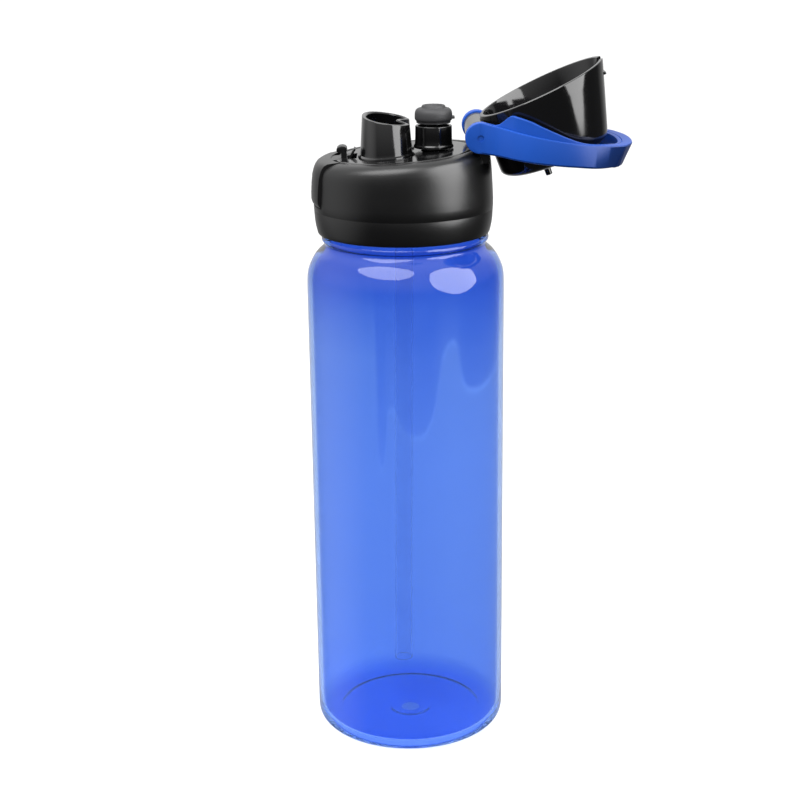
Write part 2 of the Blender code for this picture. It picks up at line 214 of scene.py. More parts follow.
# %% The builder for moulded finishes
def moulded(name, colour, roughness, grain_mm, grain_depth, wave_mm, wave_depth,
            smear=0.06, **shader_values):
    """A moulded material: colour drift, grain bump, wave bump and smears."""
    material = bpy.data.materials.new(name)
    material.use_nodes = True
    tree = material.node_tree
    shader = tree.nodes["Principled BSDF"]
    place = add_node(tree, "ShaderNodeTexCoord").outputs["Object"]
    grain = add_node(tree, "ShaderNodeTexNoise", {"Scale": 1 / (grain_mm * MM), "Detail": 2.0},
                     {"Vector": place})
    wave = add_node(tree, "ShaderNodeTexNoise", {"Scale": 1 / (wave_mm * MM), "Detail": 1.0},
                    {"Vector": place})
    bump_wave = add_node(tree, "ShaderNodeBump", {"Strength": wave_depth, "Distance": 0.2 * MM},
                         {"Height": wave.outputs["Fac"]})
    bump_grain = add_node(tree, "ShaderNodeBump", {"Strength": grain_depth, "Distance": 0.05 * MM},
                          {"Height": grain.outputs["Fac"], "Normal": bump_wave.outputs["Normal"]})
    haze = add_node(tree, "ShaderNodeTexNoise", {"Scale": 1 / (18 * MM), "Detail": 3.0},
                    {"Vector": place})
    rough = add_node(tree, "ShaderNodeMapRange",
                     {"From Min": 0.3, "From Max": 0.7, "To Min": max(roughness - smear / 2, 0.0),
                      "To Max": roughness + smear / 2}, {"Value": haze.outputs["Fac"]})
    base = linear(colour)
    darker = [0.93 * c for c in base[:3]] + [1.0]
    lighter = [min(1.07 * c, 1.0) for c in base[:3]] + [1.0]
    tint = add_node(tree, "ShaderNodeMix", {"data_type": "RGBA", 6: darker, 7: lighter},
                    {"Factor": haze.outputs["Fac"]})
    tree.links.new(tint.outputs[2], shader.inputs["Base Color"])
    tree.links.new(rough.outputs["Result"], shader.inputs["Roughness"])
    tree.links.new(bump_grain.outputs["Normal"], shader.inputs["Normal"])
    for key, value in shader_values.items():
        shader.inputs[key.replace("_", " ")].default_value = value
    material.diffuse_color = base
    return material


# %% [markdown]
# ### Clear blue copolyester
# The bottle is injection blow-moulded copolyester, polished like glass. Light
# crosses four faces on its way through, and each one tints it, so the colour
# here is paler than the bottle looks. The plastic's index is 1.54. A lower one
# keeps the rims calm, and a clear coat gives the shine back.

# %% Clear finishes, the bottle's colour follows in the next step
copolyester = moulded("clear_blue_copolyester", "#93afe6", 0.03, 0.8, 0.0, 26.0, 0.12,
                      smear=0.03, Transmission_Weight=1.0, IOR=1.14, Coat_Weight=0.75,
                      Coat_Roughness=0.03, Coat_IOR=1.5)
straw_tint = moulded("clear_polypropylene_tube", "#f8faff", 0.06, 0.8, 0.0, 9.0, 0.05,
                     smear=0.04, Transmission_Weight=1.0, IOR=1.1)
print("clear finishes ready")

# %% [markdown]
# The blown wall is thicker near the shoulder, where the hot plastic stretched
# least, and its lower edge runs down in soft drips. A thick wall tints more;
# the deep tint is also painted reflection of the black lid in the clear wall.
# The edge's height is drawn as a curve round the bottle, and the colour
# follows how far a point is above that edge.

# %% The lower edge of the thick wall and its painted lid reflection
# Each pair is an angle round the bottle in degrees, from the front, and the
# height of the edge there in millimetres.
DRIPS = [(-180, 219), (-60, 219), (-26, 218), (-20, 208), (-18.2, 186), (-17.2, 142),
         (-15.3, 129), (-12.4, 142), (-9.8, 155), (-4.0, 148), (5.4, 143), (13.0, 148),
         (19.0, 166), (25.0, 181), (28.5, 182), (33.0, 168), (42.0, 160), (56.0, 162),
         (69.0, 174), (85, 200), (100, 218), (180, 219)]
LOW_EDGE, HIGH_EDGE = 120.0, 220.0


def height_over_drips(tree, place):
    """A node that says how far a point is above the drip line, in metres."""
    to_front = add_node(tree, "ShaderNodeMath", {"operation": "MULTIPLY", 1: -1.0},
                        {0: place.outputs["Y"]})
    angle = add_node(tree, "ShaderNodeMath", {"operation": "ARCTAN2"},
                     {0: place.outputs["X"], 1: to_front.outputs[0]})
    share = add_node(tree, "ShaderNodeMapRange", {"From Min": -math.pi, "From Max": math.pi},
                     {"Value": angle.outputs[0]})
    line = add_node(tree, "ShaderNodeFloatCurve", links={"Value": share.outputs["Result"]})
    curve = line.mapping.curves[0]
    spots = [((a + 180) / 360, (z - LOW_EDGE) / (HIGH_EDGE - LOW_EDGE)) for a, z in DRIPS]
    curve.points[0].location, curve.points[-1].location = spots[0], spots[-1]
    for spot in spots[1:-1]:
        curve.points.new(*spot)
    line.mapping.update()
    print("drip line drawn through", len(spots), "points")
    height = add_node(tree, "ShaderNodeMapRange",
                      {"To Min": LOW_EDGE * MM, "To Max": HIGH_EDGE * MM},
                      {"Value": line.outputs["Value"]})
    return add_node(tree, "ShaderNodeMath", {"operation": "SUBTRACT"},
                    {0: place.outputs["Z"], 1: height.outputs["Result"]})


# %% [markdown]
# The colour has three parts. Over the drip line it darkens through four
# stops: first a thin lighter band that is a painted highlight streak, then
# deeper blue that is thicker wall and painted reflection of the black lid.
# Towards the left the drips fade into one even tint. At the shoulder and in
# the base the wall is thick all round, so the deep tint takes over; at the
# shoulder it is also painted reflection of the lid.

# %% Thick wall and painted lid reflection, with drips
DRIP_FADE = (-4.0, 40.0)
RIGHT_SIDE = (0.0, 20.0)
SHOULDER_RISE = (175.0, 208.0)
BASE_RISE = (9.0, 3.0)


def wall_tint_and_painted_light(material, thin, edge, thick_wall_and_lid_reflection, left):
    """Tint the wall by how thick it is, with painted lid reflection and a painted highlight; the
    four colours are hex values.
    """
    tree = material.node_tree
    place = add_node(tree, "ShaderNodeSeparateXYZ", links={
        "Vector": add_node(tree, "ShaderNodeTexCoord").outputs["Object"]})
    above = height_over_drips(tree, place)
    reach = add_node(tree, "ShaderNodeMapRange",
                     {"From Min": DRIP_FADE[0] * MM, "From Max": DRIP_FADE[1] * MM},
                     {"Value": above.outputs[0]})
    bands = add_node(tree, "ShaderNodeValToRGB", links={"Fac": reach.outputs["Result"]})
    middle = [0.55 * a + 0.45 * b for a, b in zip(linear(thin), linear(thick_wall_and_lid_reflection))]
    # The lighter edge stop just over the drip line is a painted highlight streak.
    stops = [(0.0, linear(thin)), (0.07, linear(edge)), (0.12, middle), (1.0, linear(thick_wall_and_lid_reflection))]
    while len(bands.color_ramp.elements) < len(stops):
        bands.color_ramp.elements.new(0.5)
    for stop, (spot, colour) in zip(bands.color_ramp.elements, stops):
        stop.position, stop.color = spot, colour
    depth = add_node(tree, "ShaderNodeMapRange",
                     {"From Min": RIGHT_SIDE[0] * MM, "From Max": RIGHT_SIDE[1] * MM,
                      "To Min": 0.5, "To Max": 1.0}, {"Value": place.outputs["X"]})
    wall = add_node(tree, "ShaderNodeMix", {"data_type": "RGBA", 6: linear(left)},
                    {"Factor": depth.outputs["Result"], 7: bands.outputs["Color"]})
    # Up the shoulder the deep tint is also painted reflection of the black lid over the neck.
    rise = add_node(tree, "ShaderNodeMapRange",
                    {"From Min": SHOULDER_RISE[0] * MM, "From Max": SHOULDER_RISE[1] * MM},
                    {"Value": place.outputs["Z"]})
    base = add_node(tree, "ShaderNodeMapRange",
                    {"From Min": BASE_RISE[0] * MM, "From Max": BASE_RISE[1] * MM, "To Max": 0.85},
                    {"Value": place.outputs["Z"]})
    deep_tint_share = add_node(tree, "ShaderNodeMath", {"operation": "MAXIMUM"},
                     {0: rise.outputs["Result"], 1: base.outputs["Result"]})
    whole = add_node(tree, "ShaderNodeMix", {"data_type": "RGBA", 7: linear(thick_wall_and_lid_reflection)},
                     {"Factor": deep_tint_share.outputs[0], 6: wall.outputs[2]})
    tree.links.new(whole.outputs[2], tree.nodes["Principled BSDF"].inputs["Base Color"])


# The deep colour is thick wall and painted reflection of the black lid.
wall_tint_and_painted_light(copolyester, thin="#92b0e9", edge="#9dbbf1", thick_wall_and_lid_reflection="#5f88df", left="#87a8e6")

# %% [markdown]
# ### Black and blue plastics
# The lid's side is ABS from a spark-eroded mould, which gives a fine satin.
# The deck, the nozzle and the cover come from a polished mould and mirror the
# lamps. The loop is polypropylene, a little softer in its shine.

# %% Opaque plastics
satin_black = moulded("spark_eroded_black_abs", "#0b0b0c", 0.33, 0.35, 0.25, 12.0, 0.15)
gloss_black = moulded("polished_black_abs", "#121213", 0.09, 0.6, 0.0, 22.0, 0.1, smear=0.03)
worn_gloss = moulded("hand_worn_black_abs", "#0c0c0d", 0.14, 0.5, 0.08, 16.0, 0.1)
loop_blue = moulded("moulded_blue_polypropylene", "#1b4fb0", 0.4, 0.4, 0.2, 14.0, 0.12,
                    Specular_IOR_Level=0.2)

# %% [markdown]
# ### Silicone and steel
# Silicone is matt and takes dust, so its roughness is high. The seals and the
# gasket are milky translucent silicone. Pins and spring are drawn stainless
# wire, whose colour is a warm pale grey.

# %% Soft and metal finishes
grey_silicone = moulded("grey_silicone", "#333335", 0.62, 0.5, 0.3, 8.0, 0.1)
milky_silicone = moulded("milky_silicone", "#d9dde2", 0.5, 0.5, 0.2, 8.0, 0.1,
                         Transmission_Weight=0.35)
drawn_steel = moulded("drawn_stainless_steel", "#c9c6c1", 0.26, 0.2, 0.3, 3.0, 0.1,
                      Metallic=1.0)
FINISHES = {"bottle_blue": copolyester, "satin_black": satin_black, "gloss_black": gloss_black,
            "grey_silicone": grey_silicone, "clear_silicone": milky_silicone,
            "loop_blue": loop_blue, "steel": drawn_steel, "straw_blue": straw_tint}


def dress(piece, body, slot, node, finish=None):
    """Give a piece its finish, its body and the part it stands for."""
    piece.data.materials.clear()
    piece.data.materials.append(finish or FINISHES[slot])
    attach(piece, body)
    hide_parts(node)
    print(piece.name, "has", len(piece.data.polygons), "faces")


# %% [markdown]
# ## The bottle
# One closed shell of glass-like plastic, turned from an outline that runs up
# the outside and down the inside. Light bends at both faces, so the wall must
# be real. Subdivision makes the shoulder's curve even, which matters most
# where the lamps mirror in it.

# %% Bottle outline, radius and height in millimetres
OUTSIDE = [(0.0, 0.0), (4.0, 0.0), (7.2, 0.0), (8.4, 0.35), (9.6, 1.1), (11.5, 1.3), (20.0, 1.3),
           (28.6, 1.3), (30.4, 1.0), (31.6, 0.25), (32.8, 0.0), (35.4, 0.0), (36.9, 0.15),
           (38.6, 0.8), (40.0, 2.0), (40.75, 3.6), (41.0, 5.5), (41.0, 9.0), (41.0, 60.0),
           (41.0, 120.0), (41.0, 170.0), (41.0, 190.0), (41.0, 195.0), (40.98, 197.4),
           (40.92, 199.6), (40.8, 201.6), (40.45, 203.6), (39.75, 205.6), (38.8, 207.6),
           (37.8, 209.3), (36.75, 210.7), (35.5, 211.9), (34.3, 212.9), (33.4, 213.8),
           (33.0, 214.5), (33.2, 215.2), (34.0, 215.75), (34.5, 216.4), (34.55, 217.1),
           (34.2, 217.9), (33.2, 218.3), (31.8, 218.4), (31.1, 218.8), (31.0, 220.0),
           (31.0, 236.4), (30.9, 237.4), (30.4, 237.95)]
INSIDE = [(29.4, 238.0), (28.8, 237.5), (28.6, 236.4), (28.6, 220.5), (28.75, 218.8),
          (29.6, 217.2), (30.6, 216.0), (31.6, 214.6), (32.6, 213.0), (34.0, 211.1),
          (35.4, 209.3), (36.7, 207.3), (37.7, 205.2), (38.4, 203.0), (38.8, 200.4),
          (39.0, 197.0), (39.0, 190.0), (39.0, 120.0), (39.0, 60.0), (39.0, 12.0),
          (38.95, 8.6), (38.5, 6.2), (37.4, 4.5), (35.8, 3.6), (33.0, 3.25), (28.0, 3.2),
          (14.0, 3.4), (10.0, 3.3), (8.0, 2.9), (5.0, 2.6), (0.0, 2.6)]
bottle = part("bottle", turned(OUTSIDE + INSIDE, 64))
shade(bottle, 180.0)
rounder = bottle.modifiers.new("rounder", "SUBSURF")
rounder.levels = rounder.render_levels = 2
dress(bottle, "bottle", "bottle_blue", "bottle_body")
bottle.visible_shadow = False
print("the clear bottle lets light through, so it casts no hard shadow")

# %% [markdown]
# The neck thread is a ridge that climbs 4 mm a turn. A small wedge is spun
# with a rise, which is how a lathe cuts one.

# %% Neck thread
NECK_RADIUS, PITCH, THREAD_TURNS = 31.0, 4.0, 1.25


def thread_ridge(root, crest, start, steps=90):
    """A wedge spun round the axis while it climbs."""
    bm = bmesh.new()
    wedge = [(root, -0.8), (crest, -0.3), (crest, 0.3), (root, 0.8)]
    verts = [bm.verts.new((radius, 0.0, start + z)) for radius, z in wedge]
    face = bm.faces.new(verts)
    bmesh.ops.spin(bm, geom=[face], cent=(0.0, 0.0, 0.0), axis=(0.0, 0.0, 1.0),
                   dvec=(0.0, 0.0, PITCH * THREAD_TURNS / steps),
                   angle=math.tau * THREAD_TURNS, steps=steps, use_merge=False)
    return tidy(bm)


neck_thread = part("neck_thread", thread_ridge(NECK_RADIUS - 0.05, NECK_RADIUS + 1.35, 222.6))
shade(neck_thread)
neck_thread.data.materials.append(copolyester)
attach(neck_thread, "bottle")

# %% [markdown]
# ## Lid geometry
# The lid's top slopes up to the hinge by about four degrees. It is modelled
# level and then sheared: everything above the thread zone rises with X.

# %% Lid dimensions
SLOPE = math.tan(math.radians(4.1))
DECK_Z = 251.6
HINGE = Vector((30.2, 0.0, 259.7))
BARREL = 5.4
PIN_HOLE = 1.85
PIN_STEPS = 32
EAR = (12.0, 15.8)
COVER_BARREL = 11.6
POST_X = 12.0


def lid_top(x):
    """Height of the sloping lid top at a place along X."""
    return DECK_Z + SLOPE * x


def lean(bm, start=243.5, full=249.0):
    """Shear the top of a level part so that it follows the lid's slope."""
    for vert in bm.verts:
        share = min(max((vert.co.z - start) / (full - start), 0.0), 1.0)
        vert.co.z += SLOPE * vert.co.x * share
    return bm


# %% [markdown]
# ## Collar
# The screw collar is one satin moulding. Its front is a touch fuller than its
# back, and a pocket is cut in the front for the latch button.

# %% Collar
COLLAR_OUT = [(33.5, 219.2), (34.5, 219.2), (34.75, 219.35), (34.95, 219.75), (35.3, 221.2),
              (35.7, 223.2), (35.95, 225.4), (36.15, 228.9), (36.1, 229.1), (36.12, 229.3),
              (36.22, 229.5), (36.25, 233.0), (36.1, 236.5), (35.9, 240.0), (35.7, 243.5),
              (35.4, 246.2), (35.05, 248.0), (34.5, 249.4), (33.7, 250.4), (32.6, 251.1),
              (31.6, 251.4), (30.4, 251.6), (29.1, 251.6), (28.85, 251.5)]
COLLAR_IN = [(28.8, 251.2), (28.8, 243.3), (30.4, 243.3), (30.6, 248.4), (32.9, 247.8),
             (33.0, 243.0), (33.0, 220.0)]
level_collar = turned(COLLAR_OUT + COLLAR_IN, 180, closed=True)
for vert in level_collar.verts:
    outward = min(max((vert.co.xy.length - 33.2) / 1.2, 0.0), 1.0)
    if vert.co.x < 0:
        vert.co.x *= 1.0 + 0.03 * outward
collar = part("collar", lean(level_collar))
for side in (-1, 1):
    ear = sorted(side * y for y in EAR)
    combine(collar, block((27.2, ear[0], 249.0), (34.0, ear[1], HINGE.z)), "UNION")
    combine(collar, cross_bar(BARREL, *ear, HINGE.x, HINGE.z), "UNION")
pocket = turned([(34.7, 231.2), (50.0, 231.2), (50.0, 262.0), (20.0, 262.0), (20.0, 243.1),
                 (34.7, 243.1)], 180, closed=True)
pocket_piece = part("pocket", pocket)
combine(pocket_piece, block((-60.0, -16.0, 225.0), (0.0, 16.0, 270.0)), "INTERSECT")
cutter = bmesh.new()
cutter.from_mesh(pocket_piece.data)
bmesh.ops.scale(cutter, vec=(1 / MM, 1 / MM, 1 / MM), verts=cutter.verts)
bpy.data.objects.remove(pocket_piece)
combine(collar, cutter, "DIFFERENCE")
combine(collar, cross_bar(PIN_HOLE, -17.0, 17.0, HINGE.x, HINGE.z, PIN_STEPS), "DIFFERENCE")
shade(collar)
dress(collar, "lid", "satin_black", "lid_collar")

# %% [markdown]
# ## Deck and chug spout
# A glossy deck closes the collar. From it rises the spout, an oval tube with a
# soft notch that makes room for the straw nozzle. The oval is a squared-off
# ellipse, and each level of the tube is the same outline at its own height.


# %% Spout outline
def spout_outline(grow, height, steps=120):
    """The spout's oval, made larger by grow, with each point at height(x)."""
    points = []
    for i in range(steps):
        angle = math.tau * i / steps
        c, s = math.cos(angle), math.sin(angle)
        x = (9.9 + grow) * math.copysign(abs(c) ** 0.8, c)
        y = (17.4 + grow) * math.copysign(abs(s) ** 0.9, s)
        if x > 0 and abs(y) < 9.0:
            notch = 0.5 + 0.5 * math.cos(math.pi * y / 9.0)
            x -= 4.6 * notch * min(1.0, x / 6.0)
        points.append(Vector((x - 6.9, y, 0.0)))
    for point in points:
        point.z = height(point.x)
    return points


def spout_rim(x):
    """Height of the spout's sloping rim."""
    return 266.9 - 0.154 * (x + 17.3)


# %% Deck with the spout on it
deck_shape = [(0.0, 249.4), (13.0, 249.4), (26.0, 249.3), (26.0, 240.3), (32.5, 240.3),
              (32.5, 242.6), (28.3, 242.6), (28.3, 250.9), (28.1, 251.35), (27.6, 251.6),
              (27.0, 251.65), (0.0, 251.65)]
deck = part("deck", lean(turned(deck_shape, 180)))
ROOT_FLARE = [(2.1, -1.0), (2.1, 0.2), (2.0, 0.6), (1.6, 0.85), (1.2, 1.1), (1.0, 2.0)]
RIM_ROUND = [(0.15, -0.35), (0.0, -0.1), (-0.25, 0.0)]
spout = [spout_outline(grow, lambda x: lid_top(x) + rise) for grow, rise in ROOT_FLARE]
spout += [spout_outline(grow, lambda x: spout_rim(x) + rise) for grow, rise in RIM_ROUND]
combine(deck, grown(spout), "UNION")
bore = [spout_outline(-0.6, lambda x: 236.0), spout_outline(-0.6, lambda x: lid_top(x) + 1.0),
        spout_outline(-1.6, lambda x: spout_rim(x) - 0.5),
        spout_outline(-1.3, lambda x: spout_rim(x) - 0.1),
        spout_outline(-1.0, lambda x: spout_rim(x) + 0.15),
        spout_outline(-1.0, lambda x: spout_rim(x) + 2.0)]
combine(deck, grown(bore), "DIFFERENCE")
combine(deck, block((-31.0, -6.6, 245.0), (-19.2, 6.6, 262.0)), "DIFFERENCE")
post_hole = turned([(0.0, 240.0), (5.2, 240.0), (5.2, 262.0), (0.0, 262.0)], 48, x=POST_X)
combine(deck, post_hole, "DIFFERENCE")
vent_hole = turned([(0.0, 245.0), (1.35, 245.0), (1.35, 258.0), (0.0, 258.0)], 32, x=15.0, y=13.6)
combine(deck, vent_hole, "DIFFERENCE")
shade(deck)
dress(deck, "lid", "gloss_black", "spout_deck", worn_gloss)

# %% [markdown]
# ## Straw nozzle
# A glossy post carries a soft silicone mouthpiece with a raised lip. Both are
# turned, and their edges are rounded after the spin.

# %% Post and mouthpiece
foot = lid_top(POST_X) + 0.9
post_shape = [(3.4, 246.6), (4.8, 246.6), (4.8, foot), (8.1, foot), (8.1, foot + 1.0),
              (7.65, foot + 1.4), (7.5, foot + 4.0), (7.4, 262.3), (5.4, 262.8), (5.4, 267.6),
              (4.9, 268.1), (3.4, 268.1)]
post = part("nozzle_stem", soften(turned(post_shape, 96, closed=True, x=POST_X), 0.3))
shade(post)
dress(post, "lid", "gloss_black", "nozzle_post", worn_gloss)

cap_shape = [(5.8, 263.4), (6.9, 263.4), (7.0, 264.2), (7.4, 264.5), (7.6, 265.0), (7.65, 265.8),
             (7.6, 267.0), (7.45, 267.9), (7.1, 268.6), (6.5, 269.1), (5.8, 269.3), (5.1, 269.35),
             (4.85, 269.6), (4.75, 270.1), (4.45, 270.4), (3.95, 270.4), (3.65, 270.1),
             (3.5, 269.5), (3.2, 269.2), (2.2, 269.1), (2.2, 268.2), (5.8, 268.2)]
soft_cap = part("soft_cap", turned(cap_shape, 96, closed=True, x=POST_X))
combine(soft_cap, soften(block((POST_X + 7.0, -1.6, 264.9), (POST_X + 8.6, 1.6, 266.0)), 0.4),
        "UNION")
shade(soft_cap, 45.0)
dress(soft_cap, "lid", "grey_silicone", "mouthpiece")

# %% [markdown]
# ## Straw
# A plain extruded tube. It leans a little, because only its top is held.


# %% Straw
def pipe_level(middle, radius, steps=64):
    """A level circle of points round a middle."""
    return [middle + Vector((radius * math.cos(a), radius * math.sin(a), 0.0))
            for a in (math.tau * i / steps for i in range(steps))]


STRAW_PATH = [Vector((-2.6, 0.0, 26.0)), Vector((-0.5, 0.0, 216.0)), Vector((-0.5, 0.0, 232.5))]
STRAW_OUT, STRAW_IN = 4.0, 3.3
straw_levels = [pipe_level(p, STRAW_OUT) for p in STRAW_PATH]
straw_levels += [pipe_level(p, STRAW_IN) for p in reversed(STRAW_PATH)]
drinking_straw = part("drinking_straw", grown(straw_levels, closed=True))
shade(drinking_straw)
dress(drinking_straw, "lid", "straw_blue", "straw")

# %% [markdown]
# ## Latch button
# The button follows the collar's curve and stands a little proud of it. It is
# the same kind of turned band, kept only where the button is.

# %% Button
BUTTON_HALF, HOOK_HALF = 15.6, 3.2
BUTTON_OUT = [(36.3, 231.8), (36.9, 231.5), (37.4, 231.7), (37.9, 232.4), (38.25, 233.6),
              (38.25, 236.0), (38.0, 240.0), (37.6, 243.6), (37.2, 246.6), (36.9, 248.4),
              (36.4, 249.8), (35.6, 250.9), (34.5, 251.5), (32.5, 251.75), (29.9, 251.8)]
BUTTON_IN = [(29.9, 249.8), (34.2, 249.4), (35.6, 247.4), (36.2, 243.0)]
button = part("button", lean(turned(BUTTON_OUT + BUTTON_IN, 180, closed=True)))
combine(button, block((-50.0, -BUTTON_HALF, 225.0), (0.0, BUTTON_HALF, 270.0)), "INTERSECT")
combine(button, lean(block((-31.5, -6.2, 246.9), (-21.4, 6.2, 251.55))), "UNION")
combine(button, soften(block((-25.6, -HOOK_HALF, 249.0), (-23.4, HOOK_HALF, 253.6)), 0.3), "UNION")
NOSE = [(-27.4, 252.3), (-27.5, 253.0), (-27.2, 253.8), (-26.4, 254.4), (-25.2, 254.65),
        (-24.0, 254.4), (-23.3, 253.8), (-23.2, 252.8), (-24.2, 252.0), (-26.4, 251.9)]
hook_nose = grown([[Vector((x, y, z)) for x, z in NOSE] for y in (-HOOK_HALF, HOOK_HALF)])
combine(button, soften(hook_nose, 0.3, 60.0), "UNION")
shade(button)
dress(button, "latch", "satin_black", "latch_button")

# %% [markdown]
# ## Cover
# The cover is a tapering oval cup. Its rim lies along the sloping lid and its
# closed end is level when shut. It is modelled shut, where its shape is
# simplest, and then turned open about the hinge, as it rests here.

# %% Cover sections
OPEN_ANGLE = math.radians(159.1)
CUP_STEPS = 128


def cover_ring(t, inset=0.0):
    """A section of the cup's side; t runs from the rim (0) to the shoulder (1)."""
    long_half, short_half = 27.0 - 4.0 * t - inset, 26.6 - 4.6 * t - inset
    ring = []
    for i in range(CUP_STEPS):
        angle = math.tau * i / CUP_STEPS
        x = 0.6 + 3.95 * t + long_half * math.cos(angle)
        ring.append(Vector((x, short_half * math.sin(angle),
                            (lid_top(x) + 0.4) * (1 - t) + 278.6 * t)))
    return ring


def crown_ring(long_half, short_half, z):
    """A level oval of the cup's closed end."""
    return [Vector((4.55 + long_half * math.cos(a), short_half * math.sin(a), z))
            for a in (math.tau * i / CUP_STEPS for i in range(CUP_STEPS))]


# %% Cover
cup_in = [crown_ring(0.0, 0.0, 280.4), crown_ring(10.0, 9.5, 280.3), crown_ring(17.0, 16.2, 279.9),
          crown_ring(20.0, 19.0, 278.9)]
cup_in += [cover_ring(t, 1.8) for t in (0.94, 0.8, 0.6, 0.4, 0.2, 0.04)]
cup_out = [cover_ring(0.0, 1.6), cover_ring(0.0, 0.25), cover_ring(0.008, 0.05)]
cup_out += [cover_ring(t) for t in (0.03, 0.2, 0.4, 0.6, 0.8, 0.94)]
cup_out += [cover_ring(1.0, 0.1), crown_ring(22.5, 21.5, 279.3), crown_ring(21.7, 20.7, 280.1),
            crown_ring(20.2, 19.2, 280.9), crown_ring(17.4, 16.5, 281.5),
            crown_ring(12.0, 11.3, 282.0), crown_ring(6.0, 5.7, 282.25),
            crown_ring(0.0, 0.0, 282.3)]
cup = part("cup", grown(cup_in + cup_out))
combine(cup, cross_bar(BARREL, -COVER_BARREL, COVER_BARREL, HINGE.x, HINGE.z), "UNION")
combine(cup, soften(block((-25.5, -3.4, 255.7), (-23.0, 3.4, 256.8)), 0.3), "UNION")
peg = turned([(0.0, 281.0), (1.45, 281.0), (1.35, 286.9), (0.0, 286.9)], 32, x=9.5)
combine(cup, soften(peg, 0.3), "UNION")
combine(cup, cross_bar(4.0, -9.0, 9.0, HINGE.x, HINGE.z), "DIFFERENCE")
combine(cup, cross_bar(PIN_HOLE, -12.5, 12.5, HINGE.x, HINGE.z, PIN_STEPS), "DIFFERENCE")
combine(cup, block((-32.0, -4.0, 245.0), (-20.0, 4.0, 255.6)), "DIFFERENCE")
opened = (Matrix.Translation(HINGE * MM) @ Matrix.Rotation(OPEN_ANGLE, 4, "Y")
          @ Matrix.Translation(-HINGE * MM))
cup.data.transform(opened)
shade(cup)
dress(cup, "flip_cover", "gloss_black", "cover")

# %% [markdown]
# ## Carry loop
# A band bent round in plan, with two round eyes on the hinge. Its section
# changes along the way: a lip outside, a channel, and a rib inside that fades
# out towards the grip. Sections are set across a smooth path.

# %% Loop path
LOOP_PLAN = [(30.2, -21.4), (36.5, -22.8), (43.0, -27.4), (50.0, -30.8), (58.0, -32.0),
             (67.0, -31.7), (74.0, -29.8), (80.5, -26.3), (86.4, -21.8), (87.4, -20.7),
             (88.1, -19.5), (90.6, -13.0), (91.7, -6.5), (92.0, 0.0)]
LOOP_PLAN += [(x, -y) for x, y in LOOP_PLAN[-2::-1]]


def loop_station(t):
    """Place and direction on the loop's outer face, t from 0 to 1."""
    place = t * (len(LOOP_PLAN) - 1)
    k = min(int(place), len(LOOP_PLAN) - 2)
    f = place - k
    near = [min(max(k + i, 0), len(LOOP_PLAN) - 1) for i in (-1, 0, 1, 2)]
    p0, p1, p2, p3 = (Vector(LOOP_PLAN[i]) for i in near)
    bend = 2 * p0 - 5 * p1 + 4 * p2 - p3
    twist = 3 * p1 - p0 - 3 * p2 + p3
    point = 0.5 * (2 * p1 + (p2 - p0) * f + bend * f * f + twist * f ** 3)
    along = 0.5 * ((p2 - p0) + 2 * bend * f + 3 * twist * f * f)
    return point, along.normalized()


def ramp(value, start, end):
    """0 before start, 1 after end, and smooth between."""
    t = min(max((value - start) / (end - start), 0.0), 1.0)
    return t * t * (3 - 2 * t)


# %% Loop section
def loop_section(t):
    """The band's section at t, set across the path."""
    point, along = loop_station(t)
    inward = Vector((-along.y, along.x))
    run = (point.x - HINGE.x) / 60.0
    middle = HINGE.z - 11.6 * run + 3.6 * run * run
    half = 6.1 - 1.5 * min(1.0, run * 1.6)
    low, top = middle - half, middle + half
    rib = top + 5.6 * (1.0 - ramp(point.x, 40.0, 76.0)) * ramp(point.x, 35.0, 41.5)
    end = ramp(point.x, 74.0, 84.0)
    waist = max(0.0, 1.0 - abs(point.x - 40.0) / 9.0)
    width = 5.0 - 1.4 * min(1.0, 1.5 * waist) + 0.9 * end
    floor = top - 1.7 * ramp(point.x, 34.0, 38.0) * (1.0 - end)
    under = 3.4 * ramp(point.x, 74.0, 88.0)
    outline = [(under + 0.9, low), (under + 0.35, low + 0.2), (under, low + 0.8),
               (0.0, top - 0.6), (0.15, top - 0.15), (0.5, top), (1.2, top), (1.4, floor),
               (width - 2.0, floor), (width - 1.8, rib - 0.3), (width - 1.5, rib),
               (width - 0.5, rib), (width - 0.1, rib - 0.2), (width, rib - 0.6),
               (width, low + 0.8), (width - 0.2, low + 0.25), (width - 0.7, low)]
    return [Vector((point.x + inward.x * d, point.y + inward.y * d, z)) for d, z in outline]


# %% Carry loop
LOOP_STEPS = 160
EYE_RADIUS, EYE = 6.1, (16.4, 21.4)
DIMPLE = 1.3
loop = part("grip_loop", grown([loop_section(i / LOOP_STEPS) for i in range(LOOP_STEPS + 1)]))
for side in (-1, 1):
    eye = sorted(side * y for y in EYE)
    combine(loop, soften(cross_bar(EYE_RADIUS, *eye, HINGE.x, HINGE.z), 0.4, 60.0), "UNION")
    hole = sorted((side * 15.0, side * 20.5))
    combine(loop, cross_bar(PIN_HOLE, *hole, HINGE.x, HINGE.z, PIN_STEPS), "DIFFERENCE")
    dimple = sorted((side * 21.1, side * 23.0))
    combine(loop, cross_bar(DIMPLE, *dimple, HINGE.x, HINGE.z, PIN_STEPS), "DIFFERENCE")
shade(loop)
dress(loop, "loop", "loop_blue", "carry_loop")

# %% [markdown]
# ## The parts that stay
# Seals, sleeves, pins and springs already have the right shape. Each keeps
# its mesh and takes the finish its material slot names.

# %% Finishes on the remaining parts
for name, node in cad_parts.items():
    if node.hide_render:
        continue
    for holder in node.material_slots:
        wanted = holder.material.name.split(".")[0]
        holder.material = FINISHES[wanted]
    print(name, "keeps its shape and takes", node.material_slots[0].material.name)

# %% [markdown]
# ## Studio
# A white floor runs to the horizon. The room is a soft dome: bright overhead,
# behind and at the left, and dim in front, so black plastic stays black with
# pale edges. What is seen directly, or through clear plastic, is plain white.
# Light is led round inside a clear wall by many reflections, so a path may be
# long.

